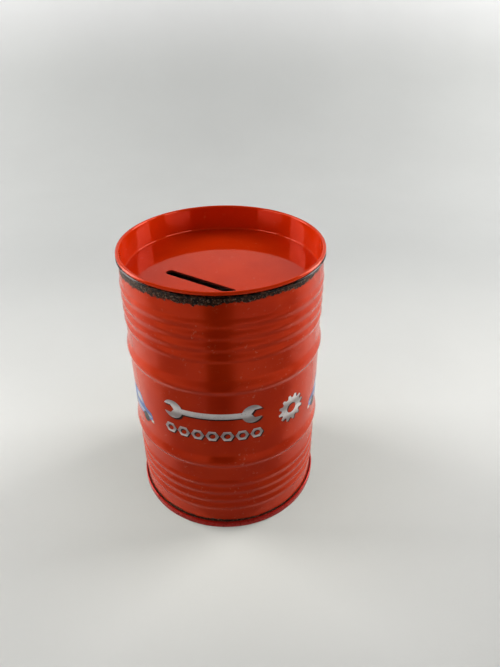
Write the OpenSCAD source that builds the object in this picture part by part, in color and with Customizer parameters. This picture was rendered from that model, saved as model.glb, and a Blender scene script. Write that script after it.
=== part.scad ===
// Drum-shaped money tin in thin tinplate: a beaded body rolled from one sheet with a lock seam at the
// back, a base plate double-seamed round its foot, and a slotted pan lid that lifts off.
// Millimetres, +Z up, origin on the floor on the drum's axis, front facing -Y, lock seam at +Y.

/* [Drum] */
// Outer radius of the plain wall
wall_radius = 39.6;      // [34:0.1:46]
// Height of the body, floor to the top of its rolled edge
body_height = 115.7;     // [112:0.1:130]
// Thickness of the tinplate
sheet = 0.25;            // [0.2:0.05:0.3]

/* [Rolling hoops] */
// Height of the lower hoop's crest
lower_hoop_height = 38.7; // [35:0.1:41]
// Height of the upper hoop's crest
upper_hoop_height = 76.5; // [70:0.1:77]
// How far a crest stands out of the plain wall
hoop_rise = 1;            // [0.5:0.05:1.2]
// How far the printed band between the hoops stands out of the plain wall
band_rise = 0.2;          // [0.05:0.05:0.4]

/* [Beads] */
// Number of raised beads in the group at each end
bead_count = 4;           // [1:1:4]
// Distance from one bead to the next
bead_pitch = 4.85;        // [3:0.05:4.9]
// How far a bead stands out of the plain wall
bead_rise = 0.4;          // [0.1:0.05:0.7]
// Height of the lower group's first bead
lower_bead_height = 12.4; // [8.5:0.1:13.5]
// Distance from the body's top down to the upper group's highest bead
upper_bead_drop = 11;     // [10.6:0.1:12.5]

/* [Rolled edge] */
// How far the neck under the rolled edge is set in
neck_inset = 0.3;         // [0.2:0.05:1]
// Height of the neck, from the foot of its taper to the top of the rolled edge
neck_height = 7.7;        // [6.5:0.1:8]
// Outer radius of the roll
curl_radius = 0.55;       // [0.45:0.05:0.8]

/* [Base] */
// Height of the seam ring that the drum stands on
seam_height = 3.1;        // [2.6:0.1:4]
// Air left between two layers of the seam
seam_gap = 0.12;          // [0.02:0.02:0.2]
// How far the base panel stands above the floor
panel_rise = 2.4;         // [1.5:0.1:4]

/* [Lid] */
// Depth of the pan, from the top of its lip to its floor
pan_depth = 10.6;         // [6:0.1:14]
// Running clearance between the pan's wall and the neck
lid_clearance = 0.2;      // [0.1:0.05:0.5]
// Outer radius of the lip's roll
lip_radius = 0.72;        // [0.6:0.02:1]
// Inside radius of the corner between wall and floor
pan_corner = 0.9;         // [0.5:0.1:2]

/* [Coin slot] */
// Length of the slot, end to end
slot_length = 32;         // [26:0.5:36]
// Width of the slot
slot_width = 3.6;         // [2.6:0.1:3.8]
// Distance from the drum's axis to the slot's middle line
slot_offset = 14.4;       // [0:0.1:16]
// Angle of the slot, from the X axis
slot_turn = -36;          // [-180:0.5:180]
// How far the slot's edges are turned down below the floor
slot_flange = 0.7;        // [0.4:0.1:3]

/* [Lock seam] */
// Angle that the folded seam takes up round the back of the wall
lock_angle = 6;           // [4:1:10]
// How far the fold stands out inside the wall
lock_rise = 0.5;          // [0.3:0.05:0.75]

/* [Hidden] */
$fn = 144;
ease_steps = 5;        // straight pieces in each rounded rise of the wall
ease_share = 0.35;     // share of a rise that its rounding takes up at each end
arc_step = 15;         // degrees between the points of a rolled edge
roll_end = -105;       // angle at which the body's roll stops short of the neck
seat_gap = 0.02;       // air between the roll and the lip that sits on it
half_sheet = sheet / 2;
cut_past = 0.2;        // how far a cutting shape runs past what it cuts

// The wall, on the middle of its sheet
wall_mid = wall_radius - half_sheet;
neck_mid = wall_mid - neck_inset;
seam_clear = 1.6;      // plain wall left above the seam ring
plain_foot = seam_height + seam_clear;
hoop_shoulder = 4.9;   // height of a hoop's upper side
hoop_skirt = 3.1;      // height of a hoop's lower side
neck_taper = 4.5;      // height of the taper from the wall into the neck
upper_bead_height = body_height - upper_bead_drop - (bead_count - 1) * bead_pitch;
neck_foot = body_height - neck_height;

// The double seam's layers, from the wall outwards: end hook, body hook, seaming wall
layer = sheet + seam_gap;
end_hook_radius = wall_mid + layer;
body_hook_radius = wall_mid + 2 * layer;
seaming_radius = wall_mid + 3 * layer;
chuck_radius = wall_mid - layer;
seam_bend = layer;     // bend radius of both hooks, on the middle of the sheet
seam_foot = half_sheet;
body_hook_floor = seam_foot + sheet + seam_bend;
seam_crown = seam_height - half_sheet - seam_bend;
hook_end = 1.9;        // height at which the body hook ends
end_hook_end = 1.25;   // height at which the end hook ends
foot_corner = 0.45;    // bend radius at the floor, on the middle of the sheet
panel_corner = 0.9;    // bend radius between the base panel and its wall

// The body's roll and the lid's lip, which sits on it
curl_mid = curl_radius - half_sheet;
curl_centre = [neck_mid + curl_mid, body_height - curl_radius];
pan_wall = neck_mid - lid_clearance - sheet;
lip_mid = lip_radius - half_sheet;
lip_across = pan_wall + lip_mid - curl_centre[0];
lip_seat = curl_radius + lip_radius + seat_gap;
lip_centre = [pan_wall + lip_mid,
              curl_centre[1] + sqrt(lip_seat * lip_seat - lip_across * lip_across)];
lip_top = lip_centre[1] + lip_radius;
pan_floor = lip_top - pan_depth - half_sheet;

// The fold up the back stops short of the lid, and is lapped flat above
lock_clear = 1.5;
lock_top = pan_floor - lock_clear;

// Points of a circular bend, from one angle to the other
function bend(centre, radius, from, to) =
    let (steps = ceil(abs(to - from) / arc_step))
    [for (i = [0 : steps]) let (a = from + (to - from) * i / steps)
        centre + radius * [cos(a), sin(a)]];

// Goes from 0 to 1 as u does, straight in the middle and rounded at both ends
function ease(u) =
    u > 0.5 ? 1 - ease(1 - u)
    : (u < ease_share ? u * u / (2 * ease_share) : u - ease_share / 2) / (1 - ease_share);

// A rise or fall of the wall between two [height, offset] stations, eased at both ends
function eased(low, high) =
    low[1] == high[1] ? [high]
    : [for (i = [1 : ease_steps]) let (u = i / ease_steps)
        [low[0] + (high[0] - low[0]) * u, low[1] + (high[1] - low[1]) * ease(u)]];

// One group of raised beads, as stations
function beads(first) =
    [for (i = [0 : bead_count - 1]) let (z = first + i * bead_pitch)
        each [[z - bead_pitch / 2, 0], [z, bead_rise], if (i == bead_count - 1) [z + bead_pitch / 2, 0]]];

// One rolling hoop, as stations, between the offsets of the wall below and above it
function hoop(crest, below, above) =
    [[crest - hoop_skirt, below], [crest, hoop_rise], [crest + hoop_shoulder, above]];

wall_stations = concat(
    [[plain_foot, 0]],
    beads(lower_bead_height),
    hoop(lower_hoop_height, 0, band_rise),
    hoop(upper_hoop_height, band_rise, 0),
    beads(upper_bead_height),
    [[neck_foot, 0], [neck_foot + neck_taper, -neck_inset]]);

// The wall's middle line, as [radius, height] points from foot to neck
wall_line = [for (i = [0 : len(wall_stations) - 1])
    each [for (s = i == 0 ? [wall_stations[0]] : eased(wall_stations[i - 1], wall_stations[i]))
        [wall_mid + s[1], s[0]]]];

body_line = concat(
    [[body_hook_radius, hook_end]],
    bend([body_hook_radius - seam_bend, body_hook_floor], seam_bend, 0, -180),
    wall_line,
    bend(curl_centre, curl_mid, 180, roll_end));

base_line = concat(
    [[0, panel_rise]],
    bend([chuck_radius - panel_corner, panel_rise - panel_corner], panel_corner, 90, 0),
    bend([chuck_radius + foot_corner, seam_foot + foot_corner], foot_corner, 180, 270),
    bend([seaming_radius - foot_corner, seam_foot + foot_corner], foot_corner, -90, 0),
    bend([seaming_radius - seam_bend, seam_crown], seam_bend, 0, 180),
    [[end_hook_radius, end_hook_end]]);

lid_line = concat(
    [[0, pan_floor]],
    bend([pan_wall - pan_corner, pan_floor + pan_corner], pan_corner, -90, 0),
    bend(lip_centre, lip_mid, 180, -90));

// Unit normal of the line at point i
function normal_at(line, i) =
    let (a = line[max(i - 1, 0)], b = line[min(i + 1, len(line) - 1)], d = (b - a) / norm(b - a))
    [-d[1], d[0]];

// Cross-section of the sheet along a line, thicker on the inner side by fold between two heights
module sheet_section(line, fold = 0, from = 0, to = 0) {
    inner = [for (p = line) half_sheet + (p[1] > from && p[1] < to ? fold : 0)];
    polygon(concat(
        [for (i = [0 : len(line) - 1]) line[i] - normal_at(line, i) * half_sheet],
        [for (i = [len(line) - 1 : -1 : 0]) line[i] + normal_at(line, i) * inner[i]]));
}

// A long hole with round ends, centred on the origin along X
module long_hole(length, width, height) {
    run = length - width;
    linear_extrude(height)
        union() {
            square([run, width], center = true);
            for (side = [-1, 1]) translate([side * run / 2, 0]) circle(d = width);
        }
}

// Puts its children at the slot, on the underside of the lid's floor
module at_slot() {
    rotate([0, 0, slot_turn]) translate([0, -slot_offset, pan_floor - half_sheet]) children();
}

// The rolled sheet, and the strip at the back where its two edges are folded into each other
module body() {
    color("firebrick")
        union() {
            rotate_extrude(angle = 360 - lock_angle, start = 90 + lock_angle / 2)
                sheet_section(body_line);
            rotate_extrude(angle = lock_angle, start = 90 - lock_angle / 2)
                sheet_section(body_line, lock_rise, plain_foot, lock_top);
        }
}

module base() {
    color("indianred")
        rotate_extrude() sheet_section(base_line);
}

module lid() {
    color("tomato")
        difference() {
            union() {
                rotate_extrude() sheet_section(lid_line);
                at_slot() translate([0, 0, -slot_flange])
                    long_hole(slot_length + 2 * sheet, slot_width + 2 * sheet, slot_flange + half_sheet);
            }
            at_slot() translate([0, 0, -slot_flange - cut_past])
                long_hole(slot_length, slot_width, slot_flange + sheet + 2 * cut_past);
        }
}

body();
base();
lid();
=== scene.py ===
"""Looks for the drum-shaped money tin: lathed sheet-metal pieces, lithographed print, soft studio light."""

import math

import bmesh
import bpy
from mathutils import Matrix, Vector


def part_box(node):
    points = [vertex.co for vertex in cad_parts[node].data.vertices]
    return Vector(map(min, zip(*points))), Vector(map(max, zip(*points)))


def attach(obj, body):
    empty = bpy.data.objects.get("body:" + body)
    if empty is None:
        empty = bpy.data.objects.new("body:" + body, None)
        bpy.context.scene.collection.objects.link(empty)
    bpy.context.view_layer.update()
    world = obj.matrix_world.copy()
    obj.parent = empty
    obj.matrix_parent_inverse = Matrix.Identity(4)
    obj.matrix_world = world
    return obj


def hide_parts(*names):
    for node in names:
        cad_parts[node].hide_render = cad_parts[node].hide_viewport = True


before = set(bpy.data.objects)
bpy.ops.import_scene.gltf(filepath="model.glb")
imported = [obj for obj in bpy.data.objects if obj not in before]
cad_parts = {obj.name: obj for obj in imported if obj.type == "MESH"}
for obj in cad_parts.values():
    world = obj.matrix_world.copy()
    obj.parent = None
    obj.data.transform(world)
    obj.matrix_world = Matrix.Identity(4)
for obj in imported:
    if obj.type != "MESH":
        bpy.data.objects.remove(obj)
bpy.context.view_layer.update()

MM = 0.001
TAU = 2 * math.pi

# ---------------------------------------------------------------- sizes, in mm, as in the CAD source
SHEET, SEAM_GAP = 0.25, 0.12
HALF, LAYER = SHEET / 2, SHEET + SEAM_GAP    # half a sheet, and the step between two layers of a seam
WALL_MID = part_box("base")[1].x / MM - HALF - 3 * LAYER
BODY_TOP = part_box("body")[1].z / MM
LID_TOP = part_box("lid")[1].z / MM
SEAM_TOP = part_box("base")[1].z / MM

LOWER_HOOP, UPPER_HOOP = 38.7, 76.5
HOOP_RISE, BAND_RISE = 1.0, 0.2
HOOP_SKIRT, HOOP_SHOULDER = 3.1, 4.9
BEADS, PITCH, BEAD_RISE = 4, 4.85, 0.4
LOWER_BEAD = 12.4
UPPER_BEAD_DROP = 11
UPPER_BEAD = BODY_TOP - UPPER_BEAD_DROP - (BEADS - 1) * PITCH
NECK_INSET, NECK_HEIGHT, NECK_TAPER = 0.3, 7.7, 4.5
SEAM_CLEAR = 1.6                       # plain wall left above the seam ring
PLAIN_FOOT = SEAM_TOP + SEAM_CLEAR
CURL, CURL_END = 0.55, -105            # radius of the roll, and the angle at which it stops
PAN_DEPTH = 10.6
HOOK_END, END_HOOK_END = 1.9, 1.25     # heights at which the seam's two hooks end
PANEL_RISE, PANEL_CORNER, FOOT_CORNER = 2.4, 0.9, 0.45
SEAMING_INSET = 0.02                   # keeps the base inside the CAD model's box
FOLD_ANGLE, FOLD_RISE, FOLD_CLEAR = 6, 0.5, 1.5    # the last is left between the fold and the lid
FOLD_EDGE, GROOVE_DEPTH = 0.25, 0.1    # degrees over which the fold rises; groove along its edges outside

NECK_MID = WALL_MID - NECK_INSET
CURL_MID = CURL - HALF
CURL_CENTRE = (NECK_MID + CURL_MID, BODY_TOP - CURL)
PAN_FLOOR = LID_TOP - PAN_DEPTH - HALF

EASE_STEPS = 8       # rows in each rounded rise of the wall
EASE_SHARE = 0.35    # share of a rise that its rounding takes up at each end
ARC_STEP = 12        # degrees between rows round a rolled edge
TURN_STEPS = 240     # columns round the drum
PLAIN_STEP = 3       # mm between rows where the wall is straight


# ---------------------------------------------------------------- lines that the sheets follow
def bend(centre, radius, start, end):
    """Points of a circular bend, from one angle to the other, in degrees."""
    steps = math.ceil(abs(end - start) / ARC_STEP)
    angles = [math.radians(start + (end - start) * i / steps) for i in range(steps + 1)]
    return [(centre[0] + radius * math.cos(a), centre[1] + radius * math.sin(a)) for a in angles]


def ease(u):
    """Goes from 0 to 1 as u does, straight in the middle and rounded at both ends."""
    if u > 0.5:
        return 1 - ease(1 - u)
    return (u * u / (2 * EASE_SHARE) if u < EASE_SHARE else u - EASE_SHARE / 2) / (1 - EASE_SHARE)


def eased(low, high):
    """A rise or fall between two (height, offset) stations, eased at both ends."""
    steps = max(2, round((high[0] - low[0]) / PLAIN_STEP)) if low[1] == high[1] else EASE_STEPS
    return [
        (low[0] + (high[0] - low[0]) * i / steps,
         low[1] + (high[1] - low[1]) * ease(i / steps))
        for i in range(1, steps + 1)
    ]


def beads(first):
    """One group of raised beads, as stations."""
    stations = []
    for i in range(BEADS):
        z = first + i * PITCH
        stations += [(z - PITCH / 2, 0), (z, BEAD_RISE)]
    return stations + [(first + (BEADS - 0.5) * PITCH, 0)]


def hoop(crest, below, above):
    """One rolling hoop, as stations, between the offsets of the wall below and above it."""
    return [(crest - HOOP_SKIRT, below), (crest, HOOP_RISE), (crest + HOOP_SHOULDER, above)]


def wall_line():
    neck_foot = BODY_TOP - NECK_HEIGHT
    stations = [(PLAIN_FOOT, 0)] + beads(LOWER_BEAD) + hoop(LOWER_HOOP, 0, BAND_RISE)
    stations += hoop(UPPER_HOOP, BAND_RISE, 0) + beads(UPPER_BEAD)
    stations += [(neck_foot, 0), (neck_foot + NECK_TAPER, -NECK_INSET)]
    line = [stations[0]]
    for low, high in zip(stations, stations[1:]):
        line += eased(low, high)
    return [(WALL_MID + offset, z) for z, offset in line]


def body_line():
    hook = WALL_MID + 2 * LAYER
    return (
        [(hook, HOOK_END)]
        + bend((hook - LAYER, HALF + SHEET + LAYER), LAYER, 0, -180)
        + wall_line()
        + bend(CURL_CENTRE, CURL_MID, 180, CURL_END)
    )


def base_line():
    chuck, seaming = WALL_MID - LAYER, WALL_MID + 3 * LAYER - SEAMING_INSET
    return (
        [(0, PANEL_RISE)]
        + bend((chuck - PANEL_CORNER, PANEL_RISE - PANEL_CORNER), PANEL_CORNER, 90, 0)
        + bend((chuck + FOOT_CORNER, HALF + FOOT_CORNER), FOOT_CORNER, 180, 270)
        + bend((seaming - FOOT_CORNER, HALF + FOOT_CORNER), FOOT_CORNER, -90, 0)
        + bend((seaming - LAYER, SEAM_TOP - HALF - LAYER), LAYER, 0, 180)
        + [(WALL_MID + LAYER, END_HOOK_END)]
    )


# ---------------------------------------------------------------- mesh builders
def new_object(name, mesh, materials, body):
    piece = bpy.data.objects.new(name, mesh)
    bpy.context.scene.collection.objects.link(piece)
    for material in materials:
        mesh.materials.append(material)
    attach(piece, body)
    return piece


def normal_at(line, i):
    """Unit normal of the line at point i."""
    (r0, z0), (r1, z1) = line[max(i - 1, 0)], line[min(i + 1, len(line) - 1)]
    length = math.hypot(r1 - r0, z1 - z0)
    return -(z1 - z0) / length, (r1 - r0) / length


def lathe(bm, line, side_of, extra_of=None, turns=None):
    """A sheet that follows the line, turned round the axis. side_of(side, row) gives the material index."""
    turns = turns or [TAU * i / TURN_STEPS for i in range(TURN_STEPS)]
    sides = []
    for sign in (-1, 1):
        rows = []
        for i, (r, z) in enumerate(line):
            nr, nz = normal_at(line, i)
            row = []
            for a in turns:
                offset = sign * (HALF + (extra_of(sign, a, z) if extra_of else 0))
                rr, zz = r + nr * offset, z + nz * offset
                if r < 1e-6:
                    row = [bm.verts.new((0, 0, zz * MM))]
                    break
                row.append(bm.verts.new((rr * math.sin(a) * MM, -rr * math.cos(a) * MM, zz * MM)))
            rows.append(row)
        sides.append(rows)
    outer, inner = sides

    def skin(rows, side, flip, start=0):
        for i, (low, high) in enumerate(zip(rows, rows[1:])):
            n = len(high)
            for j in range(n):
                k = (j + 1) % n
                if len(low) == 1:
                    corners = [low[0], high[j], high[k]]
                else:
                    corners = [low[j], high[j], high[k], low[k]]
                face = bm.faces.new(corners[::-1] if flip else corners)
                face.material_index = side_of(side, start + i)
                face.smooth = True

    skin(outer, -1, True)
    skin(inner, 1, False)
    for end, row in ((0, 0), (-1, len(line) - 2)):
        a, b = outer[end], inner[end]
        if len(a) > 1:
            skin([a, b], -1, end == -1, row)


def finish_mesh(bm, name):
    bmesh.ops.recalc_face_normals(bm, faces=bm.faces)
    mesh = bpy.data.meshes.new(name)
    bm.to_mesh(mesh)
    bm.free()
    return mesh


# ---------------------------------------------------------------- material helpers
class Nodes:
    """Short ways to add and join shader nodes."""

    def __init__(self, name):
        self.material = bpy.data.materials.new(name)
        self.material.use_nodes = True
        self.tree = self.material.node_tree
        self.tree.nodes.clear()
        self.out = self.add("ShaderNodeOutputMaterial")

    def add(self, kind, **settings):
        node = self.tree.nodes.new(kind)
        for key, value in settings.items():
            setattr(node, key, value)
        return node

    def link(self, source, target):
        self.tree.links.new(source, target)

    def put(self, value, socket):
        if isinstance(value, bpy.types.NodeSocket):
            self.link(value, socket)
        else:
            socket.default_value = value

    def math(self, operation, a, b=0.0):
        node = self.add("ShaderNodeMath", operation=operation)
        for value, socket in zip((a, b), node.inputs):
            self.put(value, socket)
        return node.outputs[0]

    def ramp(self, value, low, high):
        """0 below low, 1 above high, smooth between."""
        node = self.add("ShaderNodeMapRange", interpolation_type="SMOOTHSTEP")
        for v, name in ((value, "Value"), (low, "From Min"), (high, "From Max")):
            self.put(v, node.inputs[name])
        return node.outputs[0]

    def mix(self, share, a, b):
        node = self.add("ShaderNodeMix", data_type="RGBA")
        self.put(share, node.inputs["Factor"])
        self.put(a, node.inputs[6])
        self.put(b, node.inputs[7])
        return node.outputs[2]

    def noise(self, vector, scale, detail=2.0, roughness=0.5):
        node = self.add("ShaderNodeTexNoise")
        self.link(vector, node.inputs["Vector"])
        node.inputs["Scale"].default_value = scale
        node.inputs["Detail"].default_value = detail
        node.inputs["Roughness"].default_value = roughness
        return node.outputs["Fac"]

    def bump(self, height, distance, normal=None):
        node = self.add("ShaderNodeBump")
        self.link(height, node.inputs["Height"])
        node.inputs["Distance"].default_value = distance
        if normal is not None:
            self.link(normal, node.inputs["Normal"])
        return node.outputs[0]

    def place(self):
        return self.add("ShaderNodeTexCoord").outputs["Object"]

    def separate(self, vector):
        node = self.add("ShaderNodeSeparateXYZ")
        self.link(vector, node.inputs[0])
        return node.outputs

    def principled(self, **inputs):
        node = self.add("ShaderNodeBsdfPrincipled")
        for key, value in inputs.items():
            self.put(value, node.inputs[key.replace("_", " ")])
        self.link(node.outputs[0], self.out.inputs[0])
        return node


# ---------------------------------------------------------------- materials
RED = (0.67, 0.050, 0.003, 1)
DEEP_RED = (0.60, 0.040, 0.003, 1)
PALE_FLECK = (0.75, 0.35, 0.24, 1)
RUST_DARK = (0.010, 0.005, 0.003, 1)
RUST_BROWN = (0.090, 0.033, 0.014, 1)
RUST_GREY = (0.24, 0.17, 0.12, 1)
# Painted shade: the dark red of the lid's slot edges below the pan floor.
SLOT_PAINTED_SHADE = (0.10, 0.022, 0.012, 1)
BARE_TIN = (0.55, 0.54, 0.52, 1)
BASE_RED = (0.46, 0.020, 0.010, 1)
BASE_DEEP_RED = (0.38, 0.015, 0.008, 1)
LID_RED = (0.72, 0.054, 0.004, 1)
LID_DEEP_RED = (0.66, 0.046, 0.003, 1)
FINE_BUMP = 0.004 * MM    # the lacquer's fine texture


def lacquer(name, red, deep, rough, coat_rough, metallic, bump_mm, fleck_share, coat,
            edge=None, shade_or_bare_below=None):
    """Red litho lacquer over tinplate under a clear coat. edge(nodes, place) gives the mask of the worn print,
    and of the painted shade above the seam ring, and the last argument is the height in mm under which the
    sheet is dull and painted dark red, as painted shade in the coin slot, and bare where it faces down."""
    n = Nodes(name)
    place = n.place()
    cloud = n.noise(place, 60, 3, 0.55)
    colour = n.mix(n.ramp(cloud, 0.3, 0.7), red, deep)
    flecks = n.math("MULTIPLY", n.ramp(n.noise(place, 640, 3, 0.6), 0.60, 0.72),
                    n.ramp(n.noise(place, 75, 2, 0.5), 0.40, 0.62))
    colour = n.mix(n.math("MULTIPLY", flecks, fleck_share), colour, PALE_FLECK)
    roughness = n.math("ADD", n.math("MULTIPLY", n.noise(place, 220, 3, 0.6), 0.08), rough)
    metal = metallic
    if edge is not None:
        mask = edge(n, place)
        mottle = n.mix(n.ramp(n.noise(place, 800, 3, 0.7), 0.40, 0.62), RUST_DARK, RUST_BROWN)
        mottle = n.mix(n.math("MULTIPLY", n.ramp(n.noise(place, 1500, 2, 0.6), 0.52, 0.66), 0.9),
                       mottle, RUST_GREY)
        colour = n.mix(mask, colour, mottle)
        roughness = n.math("ADD", roughness, n.math("MULTIPLY", mask, 0.3))
        metal = n.math("MULTIPLY", n.math("SUBTRACT", 1.0, mask), metallic)
    if shade_or_bare_below is not None:
        z = n.separate(place)[2]
        below = n.ramp(n.math("SUBTRACT", shade_or_bare_below * MM, z), 0.0, 0.05 * MM)
        facing = n.separate(n.add("ShaderNodeTexCoord").outputs["Normal"])[2]
        down = n.math("MULTIPLY", below, n.ramp(n.math("MULTIPLY", facing, -1.0), 0.5, 0.8))
        # Below that height the lacquer is painted dark red, as painted shade in the coin slot; faces that
        # point down show bare tin.
        colour = n.mix(down, n.mix(below, colour, SLOT_PAINTED_SHADE), BARE_TIN)
        roughness = n.math("ADD", roughness, n.math("MULTIPLY", below, 0.25))
        metal = n.math("ADD", metal, n.math("MULTIPLY", down, 0.9 - metallic))
    fine = n.noise(place, 500, 2, 0.5)
    normal = n.bump(n.noise(place, 45, 2, 0.5), bump_mm * MM, n.bump(fine, FINE_BUMP))
    n.principled(Base_Color=colour, Roughness=roughness, Metallic=metal, Normal=normal, IOR=1.28,
                 Coat_Weight=coat, Coat_Roughness=coat_rough, Coat_IOR=1.30)
    return n.material


def edge_print_and_shade(n, place):
    """Mask of the dark worn print along the body's top, and of a dark band above the seam ring that is partly
    print and partly painted shade in the crease.
    """
    x, y, z = n.separate(place)
    turn = n.math("ARCTAN2", x, n.math("MULTIPLY", y, -1.0))
    lean = n.math("SINE", n.math("MULTIPLY", turn, -1.0))
    wide = n.math("MULTIPLY", n.math("SUBTRACT", n.noise(place, 110, 2, 0.5), 0.5), 3.6 * MM)
    ragged = n.math("MULTIPLY", n.math("SUBTRACT", n.noise(place, 620, 4, 0.75), 0.5), 4.2 * MM)
    reach = n.math("ADD", n.math("ADD", wide, ragged), n.math("MULTIPLY", lean, 0.9 * MM))
    top = n.math("SUBTRACT", z, n.math("SUBTRACT", (BODY_TOP - 3.6) * MM, reach))
    # Painted shade in the crease above the seam ring, mixed with worn print.
    foot_print_and_shade = n.math("SUBTRACT", n.math("ADD", (SEAM_TOP + 1.1) * MM, n.math("MULTIPLY", reach, 0.55)), z)
    return n.math("MAXIMUM", n.ramp(top, 0, 0.35 * MM), n.ramp(foot_print_and_shade, 0, 0.3 * MM))


def rim_print(name):
    """The same dark print, glossy, on the rolled edge."""
    n = Nodes(name)
    place = n.place()
    mottle = n.mix(n.ramp(n.noise(place, 650, 3, 0.7), 0.45, 0.65), (0.006, 0.004, 0.003, 1), RUST_BROWN)
    rough = n.math("ADD", n.math("MULTIPLY", n.noise(place, 300, 3, 0.6), 0.05), 0.03)
    n.principled(Base_Color=mottle, Roughness=rough, Normal=n.bump(n.noise(place, 400, 2, 0.5), 0.006 * MM),
                 IOR=1.35)
    return n.material


def bare_tin(name):
    """Unprinted tinplate, with a faint grain."""
    n = Nodes(name)
    place = n.place()
    x, y, z = n.separate(place)
    drawn = n.add("ShaderNodeCombineXYZ")
    n.link(n.math("MULTIPLY", x, 0.08), drawn.inputs[0])
    n.link(n.math("MULTIPLY", y, 0.08), drawn.inputs[1])
    n.link(z, drawn.inputs[2])
    grain = n.noise(drawn.outputs[0], 2200, 3, 0.6)
    cloud = n.noise(place, 70, 3, 0.6)
    colour = n.mix(cloud, (0.52, 0.51, 0.49, 1), (0.68, 0.67, 0.65, 1))
    rough = n.math("ADD", n.math("MULTIPLY", grain, 0.12), n.math("MULTIPLY", cloud, 0.18))
    n.principled(Base_Color=colour, Metallic=1.0, Roughness=n.math("ADD", rough, 0.12),
                 Normal=n.bump(grain, 0.006 * MM))
    return n.material


body_red = lacquer("body_lacquer", RED, DEEP_RED, rough=0.21, coat_rough=0.06, metallic=0.35,
                   bump_mm=0.05, fleck_share=0.36, coat=0.25, edge=edge_print_and_shade)
base_red = lacquer("base_lacquer", BASE_RED, BASE_DEEP_RED, rough=0.24, coat_rough=0.10, metallic=0.35,
                   bump_mm=0.03, fleck_share=0.4, coat=0.25)
lid_red = lacquer("lid_lacquer", LID_RED, LID_DEEP_RED, rough=0.02, coat_rough=0.02, metallic=0.10,
                  bump_mm=0.02, fleck_share=0.12, coat=0.1, shade_or_bare_below=PAN_FLOOR)
tin = bare_tin("bare_tinplate")
rim_dark = rim_print("rim_print")


# ---------------------------------------------------------------- body, base and lid
def fold(sign, angle, z):
    """The lock seam at the back: folded layers stand out inside, and a groove runs up each edge outside."""
    past = abs(((math.degrees(angle) + 360) % 360) - 180) - FOLD_ANGLE / 2
    if not PLAIN_FOOT - 0.01 < z < PAN_FLOOR - FOLD_CLEAR:
        return 0
    if sign < 0:
        return -GROOVE_DEPTH * max(0, 1 - abs(past - FOLD_EDGE) / FOLD_EDGE)
    return FOLD_RISE * min(1, max(0, -past / FOLD_EDGE))


def with_seam_columns():
    """Angles of the columns round the body, with more of them at the edges of the lock seam."""
    turns = [TAU * i / TURN_STEPS for i in range(TURN_STEPS)]
    half = math.radians(FOLD_ANGLE / 2)
    extra = [math.pi + side * (half + step * math.radians(FOLD_EDGE))
             for side in (-1, 1) for step in (-1, 0, 1, 2)]
    return sorted(set(round(a, 7) for a in turns + extra))


def make_body():
    bm = bmesh.new()
    line = body_line()
    curl_row = next(i for i, (r, z) in enumerate(line) if z > BODY_TOP - CURL - 0.05)
    lathe(bm, line, lambda side, row: 2 if row >= curl_row else (0 if side < 0 else 1),
          fold, with_seam_columns())
    piece = new_object("tin_body", finish_mesh(bm, "tin_body"), [body_red, tin, rim_dark], "drum")
    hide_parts("body")
    piece.visible_diffuse = False


def make_base():
    bm = bmesh.new()
    lathe(bm, base_line(), lambda side, row: 1 if side > 0 else 0)
    piece = new_object("tin_base", finish_mesh(bm, "tin_base"), [base_red, tin], "drum")
    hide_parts("base")
    piece.visible_diffuse = False


# The print on the band, as (arc, height) outlines in mm round the front: plain shapes, no lettering
BAND_RADIUS = WALL_MID + HALF + BAND_RISE
INK_LOW, INK_HIGH = 0.008, 0.02   # the ink's underside and top above the band
OVER, TOPMOST = 0.015, 0.03       # lift of ink that lies on other ink
WRAP_STEP = 0.8                   # mm between the cuts that let ink bend round the band
VAN_FLOOR = 48.6


def arc(centre, radius, start, end, steps=14):
    angles = [math.radians(start + (end - start) * i / steps) for i in range(steps + 1)]
    return [(centre[0] + radius * math.cos(a), centre[1] + radius * math.sin(a)) for a in angles]


def spanner(x0, x1, z):
    """A double-ended open spanner lying level."""
    jaw, shank, gape = 4.3, 1.35, 1.9
    left, right = (x0 + jaw, z), (x1 - jaw, z)
    neck = math.degrees(math.asin(shank / jaw))
    mouth = math.degrees(math.asin(gape / jaw))
    outline = arc(right, jaw, -180 + neck, -mouth, 16)
    outline += [(right[0] + 0.9, z - gape), (right[0] - 0.5, z), (right[0] + 0.9, z + gape)]
    outline += arc(right, jaw, mouth, 180 - neck, 16)
    outline += arc(left, jaw, neck, 180 - mouth, 16)
    outline += [(left[0] - 0.9, z + gape), (left[0] + 0.5, z), (left[0] - 0.9, z - gape)]
    return outline + arc(left, jaw, 180 + mouth, 360 - neck, 16)


def ring(centre, outer, inner):
    """An outline with a hole in it, cut open along one line."""
    gap = 0.02
    inside = [(centre[0] + inner * math.cos(a), centre[1] + inner * math.sin(a))
              for a in [gap + (TAU - 2 * gap) * i / 24 for i in range(25)]]
    return outer + inside[::-1]


def nut(x, z, size):
    """A hex nut seen from above."""
    gap = 0.001
    corners = [(x + size * math.cos(a), z + size * math.sin(a)) for a in
               [gap] + [TAU * i / 6 for i in range(1, 6)] + [TAU - gap]]
    return ring((x, z), corners, size * 0.48)


def gear(x, z, size, teeth):
    """A gear wheel with a round hole."""
    outline = []
    for i in range(teeth):
        for share, radius in ((0.04, 0.78), (0.26, 1.0), (0.54, 1.0), (0.76, 0.78)):
            a = TAU * (i + share) / teeth
            outline.append((x + size * radius * math.cos(a), z + size * radius * math.sin(a)))
    return ring((x, z), outline + [(x + size * 0.78, z - 0.001)], size * 0.36)


def van(x, z, way):
    """A plain van seen from its side, nose to the left or right."""
    side = [(-12, 1.5), (-12, 9.8), (-10.8, 11.4), (3.2, 11.4),
            (6.8, 6.6), (11.2, 5.6), (12, 4.4), (12, 1.5)]
    return [(x + way * px, z + pz) for px, pz in side]


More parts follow.
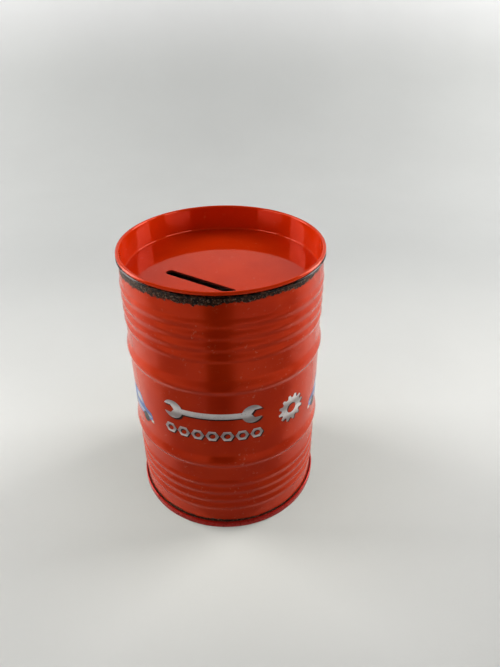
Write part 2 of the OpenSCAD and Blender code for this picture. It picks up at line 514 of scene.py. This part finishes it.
def print_piece(name, outlines, material, lift=0.0, shift=(0, 0)):
    """Ink of a hair's thickness in the given outlines, wrapped round the band."""
    bm = bmesh.new()
    for outline in outlines:
        points = [(x + shift[0], z + shift[1]) for x, z in outline]
        area = sum(a[0] * b[1] - b[0] * a[1] for a, b in zip(points, points[1:] + points[:1]))
        bm.faces.new([bm.verts.new((x, 0, z)) for x, z in (points if area > 0 else points[::-1])])
    bm.normal_update()
    bmesh.ops.triangulate(bm, faces=bm.faces[:])
    low, high = min(v.co.x for v in bm.verts), max(v.co.x for v in bm.verts)
    for i in range(math.floor(low / WRAP_STEP) + 1, math.ceil(high / WRAP_STEP)):
        bmesh.ops.bisect_plane(bm, geom=bm.verts[:] + bm.edges[:] + bm.faces[:],
                               plane_co=(i * WRAP_STEP, 0, 0), plane_no=(1, 0, 0))
    for vert in bm.verts:
        vert.co.y = INK_LOW + lift
    raised = bmesh.ops.extrude_face_region(bm, geom=bm.faces[:], use_keep_orig=True)
    for item in raised["geom"]:
        if isinstance(item, bmesh.types.BMVert):
            item.co.y = INK_HIGH + lift
    for vert in bm.verts:
        radius, turn = BAND_RADIUS + vert.co.y, vert.co.x / BAND_RADIUS
        vert.co = Vector((radius * math.sin(turn), -radius * math.cos(turn), vert.co.z)) * MM
    return new_object(name, finish_mesh(bm, name), [material], "drum")


def ink(name, light, dark, rough):
    """Printed ink with a soft top-to-bottom shade and the lacquer's fine texture."""
    n = Nodes(name)
    place = n.place()
    z = n.separate(place)[2]
    shade = n.ramp(n.math("ADD", n.math("SINE", n.math("MULTIPLY", z, 900.0)),
                          n.math("MULTIPLY", n.noise(place, 260, 3, 0.6), 1.6)), -0.6, 2.2)
    speck = n.ramp(n.noise(place, 1300, 2, 0.6), 0.62, 0.72)
    colour = n.mix(n.math("MULTIPLY", speck, 0.55), n.mix(shade, dark, light), dark)
    roughness = n.math("ADD", n.math("MULTIPLY", n.noise(place, 220, 3, 0.6), 0.08), rough)
    n.principled(Base_Color=colour, Roughness=roughness, Normal=n.bump(n.noise(place, 500, 2, 0.5), FINE_BUMP),
                 IOR=1.3, Coat_Weight=0.3, Coat_Roughness=0.06, Coat_IOR=1.3)
    return n.material


def make_print():
    silver = ink("silver_ink", (0.88, 0.83, 0.80, 1), (0.40, 0.34, 0.32, 1), 0.3)
    shadow = ink("shadow_ink", (0.040, 0.006, 0.004, 1), (0.02, 0.005, 0.004, 1), 0.35)
    blue = ink("blue_ink", (0.16, 0.27, 0.55, 1), (0.08, 0.15, 0.36, 1), 0.3)
    pale = ink("pale_ink", (0.62, 0.60, 0.55, 1), (0.42, 0.40, 0.36, 1), 0.3)
    black = ink("black_ink", (0.030, 0.026, 0.024, 1), (0.015, 0.013, 0.012, 1), 0.3)
    per_degree = BAND_RADIUS * math.pi / 180
    left, right = -38 * per_degree, 20 * per_degree
    tools = [spanner(left, right, 63.7)]
    nuts = [nut(left + 2.6 + (right - left - 5.2) * i / 6, 53.7, 2.7) for i in range(7)]
    wheel = [gear(39.5 * per_degree, 59.2, 6.6, 12)]
    for name, shapes, drop in (("spanner", tools, (0.7, -0.6)),
                               ("nuts", nuts, (0.5, -0.45)),
                               ("gear", wheel, (0.6, -0.6))):
        print_piece(f"print_{name}_shadow", shapes, shadow, 0.0, drop)
        print_piece(f"print_{name}", shapes, silver, OVER)
    for name, turn, way in (("left", -67, 1), ("right", 76, -1)):
        x = turn * per_degree
        print_piece(f"print_van_{name}", [van(x, VAN_FLOOR, way)], blue)
        window = ((-0.6, 6.9), (-0.6, 10.2), (2.6, 10.2), (5.0, 6.9))
        stripe = ((-9.8, 2.9), (-9.8, 3.9), (11.2, 3.9), (11.2, 2.9))
        bumper = ((10.9, 0.9), (10.9, 2.4), (12.6, 2.4), (12.6, 0.9))
        trim = [[(x + way * a, VAN_FLOOR + b) for a, b in shape] for shape in (window, stripe, bumper)]
        print_piece(f"print_van_{name}_trim", trim, pale, OVER)
        wheels = [arc((x + way * a, VAN_FLOOR + 1.5), 2.4, 0, 345, 23) for a in (-7, 7)]
        print_piece(f"print_van_{name}_wheels", wheels, black, TOPMOST)


make_body()
make_base()
make_print()
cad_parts["lid"].data.materials.clear()
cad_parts["lid"].data.materials.append(lid_red)


# ---------------------------------------------------------------- stage, light and camera
FLOOR_NEAR = (0.86, 0.855, 0.82, 1)
# Painted shade: the floor behind the tin has a darker colour than the floor by it.
FLOOR_BEHIND_PAINTED_SHADE = (0.56, 0.565, 0.55, 1)
BACKDROP = (0.87, 0.865, 0.86, 1)
# Colours of the far wall, which glows as painted light, a little lighter towards the top.
FAR_WALL_LOW = (0.60, 0.60, 0.59, 1)
FAR_WALL_HIGH = (0.64, 0.64, 0.63, 1)
# Painted shade seen only in reflections: the card's grey near part and its near black middle.
CARD_NEAR_PAINTED_SHADE = (0.36, 0.36, 0.36, 1)
CARD_SIDE = (0.70, 0.70, 0.70, 1)
CARD_PAINTED_DARK_REFLECTION = (0.01, 0.01, 0.01, 1)
WORLD_COLOUR, WORLD_STRENGTH = (0.95, 0.98, 1.0, 1), 0.115
LIGHT_AIM = (0, 0, 0.05)
EYE = (0, -0.19338, 0.20233)


def plain(name, near, behind, wall, rough):
    """Matt paper, with one shade for the floor by the tin, one behind it and one for the wall: the darker
    floor behind the tin, and the darkening close to and in front of the tin, are painted shade.
    """
    n = Nodes(name)
    place = n.place()
    x, y, z = n.separate(place)
    away = n.math("SQRT", n.math("ADD", n.math("MULTIPLY", x, x), n.math("MULTIPLY", y, y)))
    # Painted shade and painted warm bounce light: the floor is darker and warmer within about 14 cm of the
    # tin.
    painted_shade_by_tin = tuple(c * k for c, k in zip(near, (0.93, 0.92, 0.895))) + (1,)
    painted_shade_before_tin = tuple(c * 0.70 for c in near[:3]) + (1,)
    shade = n.mix(n.ramp(away, 0.03, 0.14), painted_shade_by_tin, near)
    # Painted shade: the floor in front of the tin is darkened to 70 per cent, from 4 cm out.
    front = n.ramp(n.math("MULTIPLY", y, -1.0), 0.04, 0.14)
    shade = n.mix(front, shade, painted_shade_before_tin)
    # Painted shade: the floor turns darker behind the tin.
    shade = n.mix(n.ramp(y, -0.03, 0.26), shade, behind)
    shade = n.mix(n.ramp(z, 0.07, 0.24), shade, wall)
    shade = n.mix(n.noise(place, 9, 4, 0.55), shade, n.mix(0.08, shade, (0, 0, 0, 1)))
    n.principled(Base_Color=shade, Roughness=rough, Normal=n.bump(n.noise(place, 900, 3, 0.6), 0.02 * MM))
    return n.material


def make_sweep():
    """Floor that curves up into a backdrop behind the tin."""
    back, radius, wide, front, top = 0.42, 0.35, 2.2, -1.6, 1.5
    profile = [(front, 0.0), (-0.6, 0.0), (0.0, 0.0), (back, 0.0)]
    steps = 24
    for i in range(1, steps + 1):
        a = math.radians(90 * i / steps)
        profile.append((back + radius * math.sin(a), radius * (1 - math.cos(a))))
    profile.append((back + radius, top))
    bm = bmesh.new()
    columns = [[bm.verts.new((x, y, z)) for y, z in profile] for x in (-wide, 0.0, wide)]
    for left, right in zip(columns, columns[1:]):
        for i in range(len(profile) - 1):
            face = bm.faces.new([left[i], right[i], right[i + 1], left[i + 1]])
            face.smooth = True
    mesh = bpy.data.meshes.new("sweep")
    bm.to_mesh(mesh)
    bm.free()
    mesh.materials.append(plain("sweep_paper", FLOOR_NEAR, FLOOR_BEHIND_PAINTED_SHADE, BACKDROP, 0.75))
    sweep = bpy.data.objects.new("sweep", mesh)
    bpy.context.scene.collection.objects.link(sweep)


def area_light(name, azimuth, elevation, distance, size, power):
    """A soft box at an azimuth (0 is in front, at -Y, 90 at +X) and elevation round the tin."""
    data = bpy.data.lights.new(name, "AREA")
    data.shape = "RECTANGLE"
    data.size, data.size_y = size
    data.energy = power
    a, e = math.radians(azimuth), math.radians(elevation)
    where = Vector((math.sin(a) * math.cos(e), -math.cos(a) * math.cos(e), math.sin(e))) * distance
    light = bpy.data.objects.new(name, data)
    light.location = where + Vector(LIGHT_AIM)
    light.rotation_euler = (-where).to_track_quat("-Z", "Y").to_euler()
    bpy.context.scene.collection.objects.link(light)


def make_world():
    world = bpy.data.worlds.new("studio")
    world.use_nodes = True
    background = world.node_tree.nodes["Background"]
    background.inputs[0].default_value = WORLD_COLOUR
    background.inputs[1].default_value = WORLD_STRENGTH
    bpy.context.scene.world = world
    bpy.context.scene.view_settings.view_transform = "Standard"
    bpy.context.scene.view_settings.look = "Medium High Contrast"


def make_card(name, corners):
    """A flat card on the floor in front that the camera and shadows don't see, seen only in reflections and
    bounced light: its dark middle is a painted dark reflection, its grey near part painted shade, and its pale
    sides stand in for the floor.
    """
    bm = bmesh.new()
    bm.faces.new([bm.verts.new(c) for c in corners])
    mesh = bpy.data.meshes.new(name)
    bm.to_mesh(mesh)
    bm.free()
    n = Nodes(name + "_card")
    x, y = n.separate(n.place())[:2]
    turn = n.math("ARCTAN2", x, n.math("MULTIPLY", y, -1.0))
    # Painted dark reflection: the middle of the card, from about 20 degrees left of straight ahead to a little
    # right of it, is near black.
    dark = n.math("MULTIPLY", n.ramp(turn, math.radians(-22), math.radians(-17)),
                  n.math("SUBTRACT", 1.0, n.ramp(turn, math.radians(0), math.radians(16))))
    # Painted shade: the part of the card nearest the tin is grey.
    far = n.ramp(n.math("MULTIPLY", y, -1.0), 0.080, 0.135)
    shade = n.mix(far, CARD_NEAR_PAINTED_SHADE, n.mix(dark, CARD_SIDE, CARD_PAINTED_DARK_REFLECTION))
    matt = n.principled(Base_Color=shade, Roughness=0.9, IOR=1.0)
    one_sided = n.add("ShaderNodeMixShader")
    n.link(n.add("ShaderNodeNewGeometry").outputs["Backfacing"], one_sided.inputs[0])
    n.link(matt.outputs[0], one_sided.inputs[1])
    n.link(n.add("ShaderNodeBsdfTransparent").outputs[0], one_sided.inputs[2])
    n.link(one_sided.outputs[0], n.out.inputs[0])
    mesh.materials.append(n.material)
    card = bpy.data.objects.new(name, mesh)
    bpy.context.scene.collection.objects.link(card)
    card.visible_camera = False
    card.visible_shadow = False


def make_glow(name, start, end, radius, bottom, top, strength):
    """A curved panel far round the side that glows for reflections only: a painted pale reflection."""
    bm = bmesh.new()
    steps = 12
    angles = [math.radians(start + (end - start) * i / steps) for i in range(steps + 1)]
    rows = [[bm.verts.new((radius * math.sin(a), -radius * math.cos(a), z)) for a in angles]
            for z in (bottom, top)]
    for i in range(steps):
        bm.faces.new([rows[0][i], rows[0][i + 1], rows[1][i + 1], rows[1][i]])
    mesh = bpy.data.meshes.new(name)
    bm.to_mesh(mesh)
    bm.free()
    n = Nodes(name + "_glow")
    glow = n.add("ShaderNodeEmission")
    glow.inputs[0].default_value = (1, 1, 1, 1)
    glow.inputs[1].default_value = strength
    n.link(glow.outputs[0], n.out.inputs[0])
    mesh.materials.append(n.material)
    panel = bpy.data.objects.new(name, mesh)
    bpy.context.scene.collection.objects.link(panel)
    panel.visible_camera = panel.visible_diffuse = panel.visible_shadow = False


def make_far_wall():
    """A pale curved wall in front and at the sides that only the camera sees, as a plain background: it glows
    as painted light, a little lighter towards the top, and lights nothing.
    """
    bm = bmesh.new()
    reach, steps, radius, bottom, top = 140, 70, 0.8, -0.01, 1.6
    angles = [math.radians(-reach + 2 * reach * i / steps) for i in range(steps + 1)]
    rows = [[bm.verts.new((radius * math.sin(a), -radius * math.cos(a), z)) for a in angles]
            for z in (bottom, top)]
    for i in range(steps):
        bm.faces.new([rows[0][i], rows[0][i + 1], rows[1][i + 1], rows[1][i]]).smooth = True
    mesh = bpy.data.meshes.new("far_wall")
    bm.to_mesh(mesh)
    bm.free()
    n = Nodes("far_wall_paper")
    glow = n.add("ShaderNodeEmission")
    z = n.separate(n.place())[2]
    n.link(n.mix(n.ramp(z, -0.05, 0.5), FAR_WALL_LOW, FAR_WALL_HIGH), glow.inputs[0])
    n.link(glow.outputs[0], n.out.inputs[0])
    mesh.materials.append(n.material)
    wall = bpy.data.objects.new("far_wall", mesh)
    bpy.context.scene.collection.objects.link(wall)
    wall.visible_diffuse = wall.visible_glossy = False
    wall.visible_shadow = wall.visible_transmission = False


def make_camera():
    """The main view: from the front, 33 degrees down, turned a little to the right."""
    data = bpy.data.cameras.new("camera")
    data.sensor_width = 36
    data.lens = 29.36
    data.clip_start, data.clip_end = 0.01, 20
    camera = bpy.data.objects.new("camera", data)
    yaw, down, roll = 0.0559, 0.5829, -0.0060
    ahead = Vector((math.sin(yaw) * math.cos(down), math.cos(yaw) * math.cos(down), -math.sin(down)))
    right = Vector((math.cos(yaw), -math.sin(yaw), 0))
    up = right.cross(ahead)
    right, up = (math.cos(roll) * right + math.sin(roll) * up,
                 math.cos(roll) * up - math.sin(roll) * right)
    axes = Matrix((right, up, -ahead)).transposed()
    camera.matrix_world = Matrix.Translation(EYE) @ axes.to_4x4()
    bpy.context.scene.collection.objects.link(camera)
    bpy.context.scene.camera = camera


make_sweep()
make_world()
for side, front in ((-1, 64), (1, 54)):
    area_light(f"front_box_{side}", front * side, 22, 1.1, (0.60, 0.12), 1.45)
    area_light(f"side_box_{side}", 110 * side, 20, 1.0, (0.48, 0.9), 8.6)
area_light("top_box", 180, 72, 1.3, (1.0, 1.0), 0.3)
make_card("front_painted_shade", [(x, y, 0.001) for x, y in
                          ((-0.9, -1.5), (0.9, -1.5), (0.5, -0.0415), (-0.5, -0.0415))])
make_far_wall()
for side in (-1, 1):
    make_glow(f"low_glow_{side}", 121 * side, 168 * side, 0.6, 0.0, 0.4, 0.8)
make_camera()
